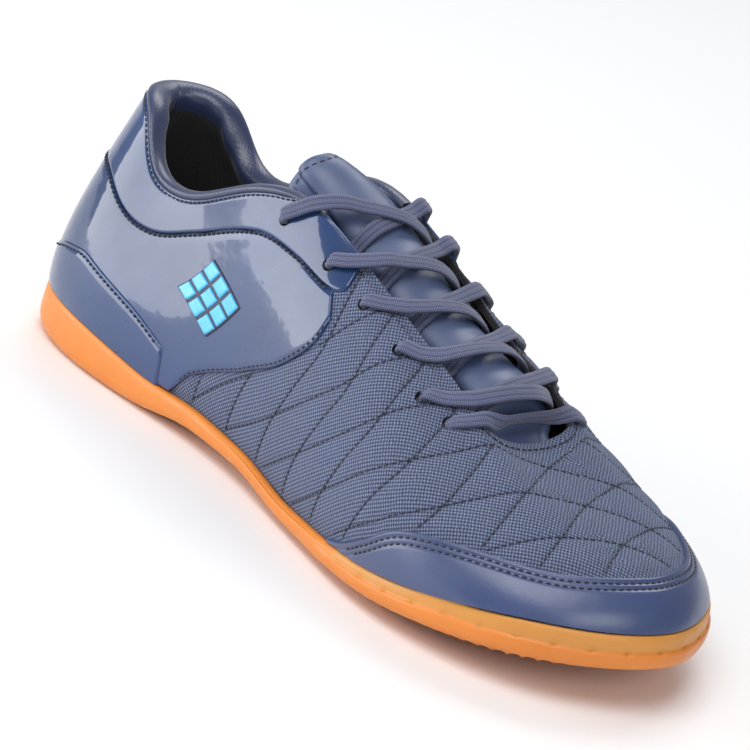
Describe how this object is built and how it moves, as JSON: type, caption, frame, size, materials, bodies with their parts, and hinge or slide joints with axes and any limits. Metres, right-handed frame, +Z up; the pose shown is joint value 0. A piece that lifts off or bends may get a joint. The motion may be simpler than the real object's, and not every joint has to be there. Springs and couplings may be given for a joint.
{
  "type": "sneaker",
  "caption": "Low indoor court shoe with a quilted canvas upper, gloss heel panels, flat laces and a moulded rubber cup sole.",
  "frame": {"origin": "on the floor under the middle of the heel", "axes": "+X towards the toe, +Y towards the inner side of the foot, +Z up"},
  "size_m": [0.2717, 0.0998, 0.0949],
  "materials": {
    "gum_rubber": "smooth moulded gum rubber",
    "canvas": "woven quilted canvas",
    "synthetic": "semi-gloss synthetic leather",
    "gloss_synthetic": "patent synthetic leather",
    "lining": "knitted lining",
    "tongue_synthetic": "soft synthetic leather",
    "insole_cloth": "cloth covered foam",
    "lace": "flat woven lace",
    "badge": "moulded tile"
  },
  "bodies": {
    "root": {"outsole": "gum_rubber", "upper": "canvas", "toe_guard": "synthetic", "quarter_panel": "gloss_synthetic", "collar_panel": "gloss_synthetic", "heel_counter": "gloss_synthetic", "collar_lining": "lining", "tongue": "tongue_synthetic", "insole": "insole_cloth", "lace_bar": "lace", "lace_cross_1": "lace", "lace_cross_2": "lace", "lace_cross_3": "lace", "lace_cross_4": "lace", "lace_cross_5": "lace", "badge_lateral": "badge"}
  },
  "joints": []
}
